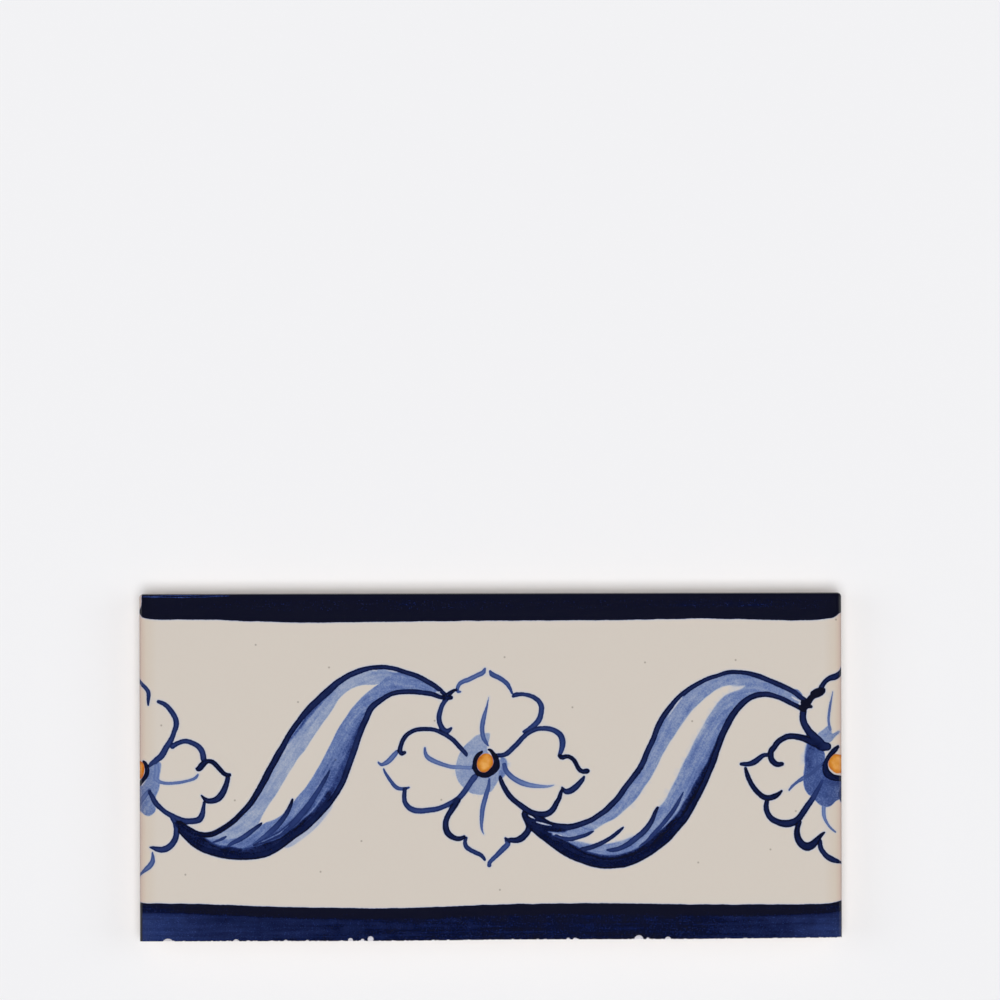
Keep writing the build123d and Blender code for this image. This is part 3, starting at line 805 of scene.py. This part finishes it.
FINE = 0.18  # between the skin's points where paint ends
COARSE = 1.08  # and over the rest of the face
ARRIS_GAP = 0.1  # between the skin's points and the rounded edge
CUT_GAP = 0.12  # and the cut
LOWEST = -34.6
STAGGER = 0.2  # of a step, off the square, so that no row lines up


def lattice(step):
    """Places all over the flat of the face, about one step from each other."""
    xs = np.arange(-half + ARRIS_RADIUS + ARRIS_GAP, half - ARRIS_RADIUS - ARRIS_GAP, step)
    ys = np.arange(LOWEST, TOP_EDGE - ARRIS_RADIUS - ARRIS_GAP, step)
    grid = np.array(np.meshgrid(xs, ys)).reshape(2, -1).T
    grid += STAGGER * step * np.sin(grid[:, ::-1] * 7.0)
    clear = grid[:, 1] - cut_y(grid[:, 0]) > CUT_GAP
    corner = np.hypot(*(np.abs(grid) - (half - CORNER_RADIUS, side_to)).clip(0).T)
    return grid[clear & (corner < CORNER_RADIUS - ARRIS_RADIUS + 0.001)]


HOLLOW_RINGS = (0.35, 0.6, 0.8)  # circles of points in a chip, as shares of its radius


def around(x, y, radius, angles):
    """Places on a circle, by their angles clockwise from +Y."""
    return [(x + radius * math.sin(a), y + radius * math.cos(a)) for a in angles]


fine = lattice(FINE)
laid = painting(fine)
# Depths between which the skin is close, round the edge of each kind of paint
LINE_EDGE = (-0.3, 0.72)
WASH_EDGE = 0.2
WASH_UNDER_LINE = 0.3
OCHRE_EDGE = 0.25
edges_here = (laid["line_depth"] > LINE_EDGE[0]) & (laid["line_depth"] < LINE_EDGE[1])
edges_here |= (laid["wash_rim"] < WASH_EDGE) & (laid["line_depth"] < WASH_UNDER_LINE)
edges_here |= np.abs(laid["ochre_depth"]) < OCHRE_EDGE
skin = [border[:, :2]]
joins = []
start = n
order = list(range(cut_count - 1, n)) + [0]
for inset in arris_insets[1:]:
    skin.append(ring(inset)[order])
    joins += [(start + i, start + i + 1) for i in range(len(order) - 1)]
    start += len(order)
for chip in CHIPS:
    bx, by, radius = chip_ball(*chip)
    reach = math.acos((cut_y(bx) - by) / radius)
    arc = around(bx, by, radius, np.linspace(-reach, reach, 19)[1:-1])
    full_turn = np.linspace(-math.pi, math.pi, 21)[1:]
    inner = [p for k in HOLLOW_RINGS for p in around(bx, by, radius * k, full_turn)]
    inner = [p for p in inner if p[1] > cut_y(p[0]) + CUT_GAP / 2]
    skin += [np.array(arc), np.array(inner)]
    joins += [(start + i, start + i + 1) for i in range(len(arc) - 1)]
    start += len(arc) + len(inner)
skin += [fine[edges_here], lattice(COARSE)]
points = np.vstack(skin)
flat, _, triangles, sources, _, _ = delaunay_2d_cdt(
    [Vector(p) for p in points], joins, [list(range(n))], 1, 1e-4, True
)
flat = np.array([tuple(p) for p in flat])
middles = flat[np.array(triangles)].mean(1)
above_cut = middles[:, 1] > cut_y(middles[:, 0]) + 1e-5
triangles = [t for t, kept in zip(triangles, above_cut) if kept]
on_border = {source: i for i, from_ in enumerate(sources) for source in from_ if source < n}


def face_height(places):
    """Height of the glazed face: flat, rolled over at the arris, and bitten by the chips."""
    over = np.abs(places)
    over[:, 1] = places[:, 1]
    margin = np.array([half, TOP_EDGE]) - over
    inset = margin.min(1)
    in_corner = (margin < CORNER_RADIUS).all(1)
    inset[in_corner] = CORNER_RADIUS - np.hypot(*(CORNER_RADIUS - margin[in_corner]).T)
    short = np.clip(ARRIS_RADIUS - inset, 0, ARRIS_RADIUS)
    z = THICKNESS - ARRIS_RADIUS + np.sqrt(ARRIS_RADIUS**2 - short**2)
    bite = np.zeros(len(places))
    for chip in CHIPS:
        bx, by, radius = chip_ball(*chip)
        square = radius**2 - (places[:, 0] - bx) ** 2 - (places[:, 1] - by) ** 2
        bite = np.maximum(bite, np.sqrt(square.clip(0)))
    return np.minimum(z, THICKNESS - bite), bite


height, _ = face_height(flat)
verts = [np.column_stack([flat, height]), level(ring(0.0), LAND_FOOT)]
faces = [tuple(t) for t in triangles]
GLAZED, CLAY, SAWN = 0, 1, 2  # the materials' places in the mesh
kinds = [GLAZED] * len(faces)
for i in range(n):
    j = (i + 1) % n
    faces.append((on_border[i], len(flat) + i, len(flat) + j, on_border[j]))
    kinds.append(SAWN if i < cut_count - 1 else GLAZED)
# Below the land comes the keyed blank, without the lid that the glazed skin takes over
base = len(flat) + n
verts.append(np.array([v.co[:] for v in keyed.vertices]) / MM)
for face in keyed.polygons:
    if min(keyed.vertices[v].co.z for v in face.vertices) < (LAND_FOOT - 0.01) * MM:
        faces.append(tuple(base + v for v in face.vertices))
        kinds.append(SAWN if face.normal.y < -0.98 else CLAY)
bpy.data.meshes.remove(keyed)

mesh = mesh_of("painted_tile", np.vstack(verts), faces)
mesh.polygons.foreach_set("material_index", kinds)
tile = add("painted_tile", mesh)
work = bmesh.new()
work.from_mesh(mesh)
bmesh.ops.remove_doubles(work, verts=work.verts, dist=0.002 * MM)
bmesh.ops.recalc_face_normals(work, faces=work.faces)
open_edges = sum(not e.is_manifold for e in work.edges)
print("tile skin:", len(work.faces), "faces,", open_edges, "open edges")
work.to_mesh(mesh)
work.free()

co = np.zeros(len(mesh.vertices) * 3)
mesh.vertices.foreach_get("co", co)
co = co.reshape(-1, 3) / MM
laid = painting(co[:, :2])
below = np.clip(THICKNESS - ARRIS_RADIUS - co[:, 2], 0, None)
laid["line_depth"] -= 0.5 * below
laid["chip_depth"] = face_height(co[:, :2])[1]
laid["from_cut"] = co[:, 1] - cut_y(co[:, 0])
for name, values in laid.items():
    mesh.attributes.new(name, "FLOAT", "POINT").data.foreach_set("value", values.astype("f"))

# The map for the finished colours: the face has most of it, then the back and the sides.
# Each has its middle at a place on the sheet, in mm, and the back and ends are smaller.
SHEET = 142.5
FACE_SPOT = (71.2, 36.0)
BACK_SPOT, BACK_SCALE = (43.5, 93.5), 0.6
CUT_SPOT = (71.2, 118.0)
TOP_SPOT = (71.2, 128.5)
LEFT_SPOT, RIGHT_SPOT, END_SCALE = (115.0, 88.0), (115.0, 78.0), 0.75
uv = mesh.uv_layers.new(name="OFBake")
for face in mesh.polygons:
    nx, ny, nz = face.normal
    for corner in face.loop_indices:
        x, y, z = co[mesh.loops[corner].vertex_index]
        if nz > 0.3:
            spot, scale, laid_out = FACE_SPOT, 1.0, (x, y)
        elif nz < -0.3 or (abs(nz) > 0.02 and z < 0.75 and abs(nx) > 0.3):
            spot, scale, laid_out = BACK_SPOT, BACK_SCALE, (x, y)
        elif abs(ny) > 0.5:
            spot, scale, laid_out = CUT_SPOT if ny < 0 else TOP_SPOT, 1.0, (x, z)
        else:
            spot, scale, laid_out = RIGHT_SPOT if nx > 0 else LEFT_SPOT, END_SCALE, (y, z)
        uv.data[corner].uv = [(scale * a + b) / SHEET for a, b in zip(laid_out, spot)]
mesh.shade_smooth()
mesh.set_sharp_from_angle(angle=math.radians(35))

# ---------------------------------------------------------------- bare clay
# The back and the lower sides are unglazed pressed clay, chalky and fine grained. On the
# sawn side the wheel left fine straight scores, and the glaze shows as a thin white line.


def srgb(r, g, b):
    """A colour seen as these 8-bit values, as the linear values that a node takes."""
    return tuple(
        (c / 255 / 12.92 if c <= 10 else ((c / 255 + 0.055) / 1.055) ** 2.4) for c in (r, g, b)
    ) + (1.0,)


class Shading:
    """Adds nodes to one tree, each from its inputs' names and values or sockets."""

    def __init__(self, tree, place=None):
        self.tree = tree
        if place is None:
            place = self.add("ShaderNodeTexCoord").outputs["Object"]
        self.place = place

    def add(self, kind, settings=None, **links):
        return node(self.tree, kind, settings, **links)

    def value(self, name):
        return self.add("ShaderNodeAttribute", {"attribute_name": name}).outputs["Fac"]

    def math(self, op, a, b=0.0, c=0.0):
        return self.add("ShaderNodeMath", {"operation": op}, _0=a, _1=b, _2=c).outputs[0]

    def plus(self, a, b):
        return self.math("ADD", a, b)

    def less(self, a, b):
        return self.math("SUBTRACT", a, b)

    def times(self, a, b):
        return self.math("MULTIPLY", a, b)

    def noise(self, size, detail, stretch=None):
        """Noise from 0 to 1 with lumps of about this size, in mm."""
        place = self.place
        if stretch:
            place = self.add("ShaderNodeMapping", Vector=place, Scale=stretch).outputs[0]
        made = self.add("ShaderNodeTexNoise", Vector=place, Scale=1 / (size * MM), Detail=detail)
        return made.outputs["Fac"]

    def ramp(self, value, low, high, to_low=0.0, to_high=1.0, kind="SMOOTHSTEP"):
        return self.add(
            "ShaderNodeMapRange", {"interpolation_type": kind},
            Value=value, From_Min=low, From_Max=high, To_Min=to_low, To_Max=to_high,
        ).outputs[0]

    def mix(self, amount, a, b, blend="MIX"):
        made = self.add("ShaderNodeMix", {"data_type": "RGBA", "blend_type": blend})
        for number, item in ((0, amount), (6, a), (7, b)):
            if isinstance(item, bpy.types.NodeSocket):
                self.tree.links.new(item, made.inputs[number])
            else:
                made.inputs[number].default_value = item
        return made.outputs[2]

    def colours(self, value, *stops):
        made = self.add("ShaderNodeValToRGB", Fac=value)
        band = made.color_ramp
        while len(band.elements) < len(stops):
            band.elements.new(1.0)
        for item, (at, colour) in zip(band.elements, stops):
            item.position, item.color = at, srgb(*colour)
        return made.outputs["Color"]

    def feed(self, **links):
        """Feeds the material's own shader."""
        shader = self.tree.nodes["Principled BSDF"]
        for key, socket in links.items():
            self.tree.links.new(socket, shader.inputs[key.replace("_", " ")])


CLAY_DARK = srgb(184, 158, 131)
CLAY_PALE = srgb(205, 182, 156)
GROG = srgb(138, 104, 78)  # the coarser, darker grains in the clay
SCORED = srgb(222, 207, 190)
GLAZE_IN_SECTION = srgb(208, 203, 200)
SKIN_FOOT = (7.66 * MM, 7.7 * MM)  # heights between which the glaze begins on the cut

clay_grain = new_tree(
    "clay_grain",
    "ShaderNodeTree",
    [
        ("Place", "NodeSocketVector", None),
        ("Lump Size", "NodeSocketFloat", 2.4 * MM),
        ("Detail", "NodeSocketFloat", 5.0),
        ("Dark", "NodeSocketColor", CLAY_DARK),
        ("Pale", "NodeSocketColor", CLAY_PALE),
        ("Specks", "NodeSocketFloat", 0.35),
    ],
    [("Color", "NodeSocketColor")],
)
gin = clay_grain.nodes.new("NodeGroupInput").outputs
c = Shading(clay_grain, gin["Place"])
scale = c.math("DIVIDE", 1.0, gin["Lump Size"])
lumps = c.add("ShaderNodeTexNoise", Vector=c.place, Scale=scale, Detail=gin["Detail"])
lumps = c.ramp(lumps.outputs["Fac"], 0.3, 0.7, kind="LINEAR")
specks = c.times(c.ramp(c.noise(0.7, 3.0), 0.66, 0.74), gin["Specks"])
grained = c.mix(specks, c.mix(lumps, gin["Dark"], gin["Pale"]), GROG)
c.add("NodeGroupOutput", Color=grained)

sawn_clay = bpy.data.materials.new("sawn_clay")
for surface in (clay, sawn_clay):
    surface.use_nodes = True
    c = Shading(surface.node_tree)
    made = c.add("ShaderNodeGroup", {"node_tree": clay_grain}, Place=c.place)
    body = made.outputs["Color"]
    relief = c.times(c.noise(0.45, 4.0), 0.05 * MM)
    if surface is sawn_clay:
        scores = c.noise(0.5, 3.0, stretch=(0.02, 1.0, 1.0))
        body = c.mix(c.ramp(scores, 0.35, 0.65, 0.0, 0.25), body, SCORED)
        place_z = c.add("ShaderNodeSeparateXYZ", Vector=c.place).outputs["Z"]
        skin_line = c.plus(place_z, c.times(c.noise(1.5, 2.0), 0.12 * MM))
        body = c.mix(c.ramp(skin_line, *SKIN_FOOT), body, GLAZE_IN_SECTION)
        relief = c.plus(relief, c.times(scores, 0.06 * MM))
    bump = c.add("ShaderNodeBump", Strength=0.7, Distance=1.0, Height=relief)
    roughness = c.ramp(c.noise(1.0, 3.0), 0.3, 0.7, 0.75, 0.92)
    c.feed(Base_Color=body, Roughness=roughness, Normal=bump.outputs[0])

# ---------------------------------------------------------------- glaze and cobalt
# An opaque white tin glaze, slightly warm, glossy and a little wavy. The cobalt sank into
# it while it was molten, so thin paint dries to a watery blue with a darker rim and thick
# paint fires almost black, and the glaze is thin and shows the clay at the rounded edges.

BAND_INNER = (26.6 * MM, 26.9 * MM)  # how far from the middle a band's marks set in
GLAZE_STOP = (5.72 * MM, 5.62 * MM)  # heights between which the glaze ends on the sides
PINHOLE_GAP = 19 * MM
PINHOLE = srgb(205, 203, 200)
SCRAPED_DARK = srgb(176, 150, 124)

glaze = bpy.data.materials.new("painted_glaze")
glaze.use_nodes = True
g = Shading(glaze.node_tree)
line_depth, line_tone = g.value("line_depth"), g.value("line_tone")
wash_tone, wash_rim = g.value("wash_tone"), g.value("wash_rim")
ragged = g.math("MULTIPLY_ADD", g.noise(0.5, 3.0), 0.16, -0.08)
in_line = g.ramp(g.plus(line_depth, ragged), -0.08, 0.08)
# Bristles: streaks that follow the ribbons' length, and the bands' along X
flow = g.add(
    "ShaderNodeCombineXYZ",
    X=g.times(g.value("flow_across"), 1.5),
    Y=g.times(g.value("flow_along"), 0.14),
).outputs[0]
bristles = g.add("ShaderNodeTexNoise", Vector=flow, Scale=1.0, Detail=2.0).outputs["Fac"]
bristles = g.math("MULTIPLY_ADD", bristles, 2.0, -1.0)
sweep = g.math("MULTIPLY_ADD", g.noise(0.6, 3.0, stretch=(0.04, 1.0, 1.0)), 2.0, -1.0)
blotch = g.math("MULTIPLY_ADD", g.noise(2.6, 3.0), 2.0, -1.0)
grain = g.math("MULTIPLY_ADD", g.noise(0.28, 2.0), 2.0, -1.0)
# Thick paint: darkest along its edge, unless that edge lies on a dark layer
body_rim = g.times(g.ramp(line_depth, 0.04, 0.46, 0.13, 0.0), g.less(1.0, wash_tone))
body_tone = g.plus(g.less(line_tone, 0.09), body_rim)
uneven = g.plus(g.times(blotch, 0.06), g.times(grain, 0.04))
at = g.add("ShaderNodeSeparateXYZ", Vector=g.place).outputs
in_band = g.ramp(g.math("ABSOLUTE", at["Y"]), *BAND_INNER)
streaks = g.times(g.times(sweep, in_band), 0.09)
thick = g.plus(body_tone, g.plus(uneven, streaks))
# The paint pushed to a band's edge lies thickest
heaped = g.ramp(g.plus(line_depth, g.times(sweep, 0.5)), 1.6, 2.5, 0.16, 0.0)
thick = g.plus(thick, g.times(in_band, heaped))
# Thin paint: streaked and mottled, with a rim where the puddle dried
rim = g.ramp(wash_rim, 0.04, 0.3, 0.05, 0.0)
mottle = g.plus(g.times(bristles, 0.4), g.times(grain, 0.4))
mottle = g.plus(mottle, g.times(blotch, 0.3))
calm = g.less(1.0, g.math("POWER", wash_tone, 3.0))
mottle = g.plus(g.times(mottle, calm), rim)
thin = g.times(wash_tone, g.plus(mottle, 1.0))
# A breath of blue bled into the glaze beside every stroke
bleed = g.ramp(line_depth, -0.45, -0.02, 0.0, 0.08)
thin = g.math("MAXIMUM", thin, bleed)
thick = g.math("MAXIMUM", thick, thin)
density = g.plus(thin, g.times(in_line, g.less(thick, thin)))
# Fine dust of bubbles that broke at the surface of the thick paint
dust = g.ramp(g.noise(0.24, 1.0), 0.6, 0.76, 0.0, 0.13)
density = g.less(density, g.times(in_band, dust))
cobalt = g.colours(
    density,
    (0.0, (211, 202, 192)), (0.1, (196, 195, 200)), (0.28, (148, 160, 187)),
    (0.38, (119, 136, 176)), (0.45, (99, 119, 169)), (0.6, (62, 82, 138)),
    (0.75, (38, 56, 112)), (0.87, (20, 32, 76)), (0.95, (4, 13, 50)), (1.0, (13, 15, 34)),
)
ochre_edge = g.plus(g.value("ochre_depth"), ragged)
in_ochre = g.times(g.ramp(ochre_edge, -0.08, 0.08), g.less(1.0, in_line))
puddle = g.plus(g.ramp(g.value("ochre_depth"), 0.0, 0.9, 0.1, 0.6),
                g.math("MULTIPLY_ADD", g.noise(1.1, 2.0), 0.8, -0.4))
ochre = g.colours(puddle, (0.05, (190, 104, 18)), (0.4, (213, 141, 48)), (0.9, (232, 178, 102)))
colour = g.mix(in_ochre, cobalt, ochre)
# A few pinholes, where gas burst through the glaze
pits = g.add("ShaderNodeTexVoronoi", {"voronoi_dimensions": "2D"},
             Vector=g.place, Scale=1 / PINHOLE_GAP).outputs["Distance"]
pits = g.ramp(pits, 0.006, 0.015, 1.0, 0.0)
colour = g.mix(pits, colour, PINHOLE, "MULTIPLY")
# Over the rounded ends the glaze is thin and the clay warms it
from_end = g.less(half * MM, g.math("ABSOLUTE", at["X"]))
warm = g.colours(
    g.times(from_end, 0.25 / MM),
    (0.0, (221, 208, 207)), (0.07, (233, 216, 213)), (0.16, (247, 236, 230)),
    (0.35, (251, 247, 242)), (0.9, (255, 255, 255)),
)
colour = g.mix(1.0, colour, warm, "MULTIPLY")
# Where a chip broke the glaze away
broken = g.colours(g.noise(0.4, 3.0), (0.3, (198, 195, 203)), (0.7, (228, 226, 233)))
in_chip = g.ramp(g.value("chip_depth"), 0.0, 0.03)
# The wheel also plucked the glaze here and there along the cut
plucked = g.less(g.noise(0.8, 4.0), g.times(g.value("from_cut"), 0.9))
in_chip = g.math("MAXIMUM", in_chip, g.ramp(plucked, 0.47, 0.53))
colour = g.mix(in_chip, colour, broken)
# The glaze stops in a wavering line on the sides, above the bare clay
bare = g.add("ShaderNodeGroup", {"node_tree": clay_grain}, Place=g.place,
             Lump_Size=0.8 * MM, Detail=4.0, Dark=SCRAPED_DARK, Specks=0.0).outputs["Color"]
line_z = g.less(at["Z"], g.times(g.noise(6.0, 3.0), 1.1 * MM))
in_clay = g.ramp(line_z, *GLAZE_STOP)
colour = g.mix(in_clay, colour, bare)
dull = g.math("MAXIMUM", in_chip, in_clay)
sheen = g.math("MULTIPLY_ADD", g.noise(3.0, 3.0), 0.08, 0.08)
roughness = g.plus(sheen, g.times(dull, 0.5))
swell = g.times(g.noise(9.0, 1.0), 0.05 * MM)
relief = g.plus(swell, g.times(g.noise(0.9, 2.0), 0.004 * MM))
bump = g.add("ShaderNodeBump", Strength=0.6, Distance=1.0, Height=relief)
g.feed(Base_Color=colour, Roughness=roughness, Normal=bump.outputs[0])

for surface in (glaze, clay, sawn_clay):
    mesh.materials.append(surface)

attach(tile, "root")
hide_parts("tile")

# ---------------------------------------------------------------- table, lights, camera
# The tile lies on a pale table under an overhead camera. Broad soft light falls from above,
# and two softboxes low at the sides catch the rounded edges.

bpy.ops.mesh.primitive_plane_add(size=8.0, location=(0, 0, 0))
table = bpy.context.object
table.name = "table"
paper = bpy.data.materials.new("pale_paper")
paper.use_nodes = True
dry = paper.node_tree.nodes["Principled BSDF"].inputs
dry["Base Color"].default_value = srgb(242, 242, 244)
dry["Roughness"].default_value = 1.0
dry["Specular IOR Level"].default_value = 0.0
table.data.materials.append(paper)

SKY_LIGHT = 0.12  # the sky's strength as a light, where 1 is the white that is seen
SKY_MIRRORED = 0.3  # the share of that which the gloss shows
SUN_STRENGTH = 2.31
SOFTBOX_POWER = 1.8

scene = bpy.context.scene
scene.view_settings.view_transform = "Standard"
world = bpy.data.worlds.new("studio")
scene.world = world
world.use_nodes = True
sky = world.node_tree
path = node(sky, "ShaderNodeLightPath").outputs
direct = node(sky, "ShaderNodeMapRange", Value=path["Is Camera Ray"], To_Min=SKY_LIGHT)
mirrored = node(sky, "ShaderNodeMapRange", Value=path["Is Glossy Ray"],
                To_Min=1.0, To_Max=SKY_MIRRORED)
strength = node(sky, "ShaderNodeMath", {"operation": "MULTIPLY"},
                _0=direct.outputs[0], _1=mirrored.outputs[0])
sky.links.new(strength.outputs[0], sky.nodes["Background"].inputs["Strength"])
sky.nodes["Background"].inputs["Color"].default_value = (1, 1, 1, 1)


def aim(lamp, place, target):
    lamp.location = place
    lamp.rotation_euler = (Vector(target) - Vector(place)).to_track_quat("-Z", "Y").to_euler()
    scene.collection.objects.link(lamp)


overhead = bpy.data.lights.new("overhead", "SUN")
overhead.energy = SUN_STRENGTH
overhead.angle = math.radians(30)
lamp = bpy.data.objects.new("overhead", overhead)
lamp.visible_glossy = False
aim(lamp, (0.01, -0.12, 1.0), (0, 0, 0))
for side in (-1, 1):
    softbox = bpy.data.lights.new("softbox", "AREA")
    softbox.size = 0.7
    softbox.energy = SOFTBOX_POWER
    aim(bpy.data.objects.new("softbox", softbox), (0.9 * side, 0.1, 0.75), (0, 0, 0))

# The photograph's frame is 1000 pixels square, 5.016 of them to a millimetre of the face
FRAME_PIXELS = 1000
PIXELS_PER_MM = 5.016
LENS = 200.0
SENSOR = 36.0
FRAME_MIDDLE = (2.0, 53.23)  # the place over which the camera stands
CAMERA_TURN = -0.13  # degrees
lens = bpy.data.cameras.new("camera")
lens.lens = LENS
lens.sensor_width = SENSOR
away = LENS / SENSOR * FRAME_PIXELS / PIXELS_PER_MM
camera = bpy.data.objects.new("camera", lens)
camera.location = (FRAME_MIDDLE[0] * MM, FRAME_MIDDLE[1] * MM, (THICKNESS + away) * MM)
camera.rotation_euler = (0, 0, math.radians(CAMERA_TURN))
scene.collection.objects.link(camera)
scene.camera = camera
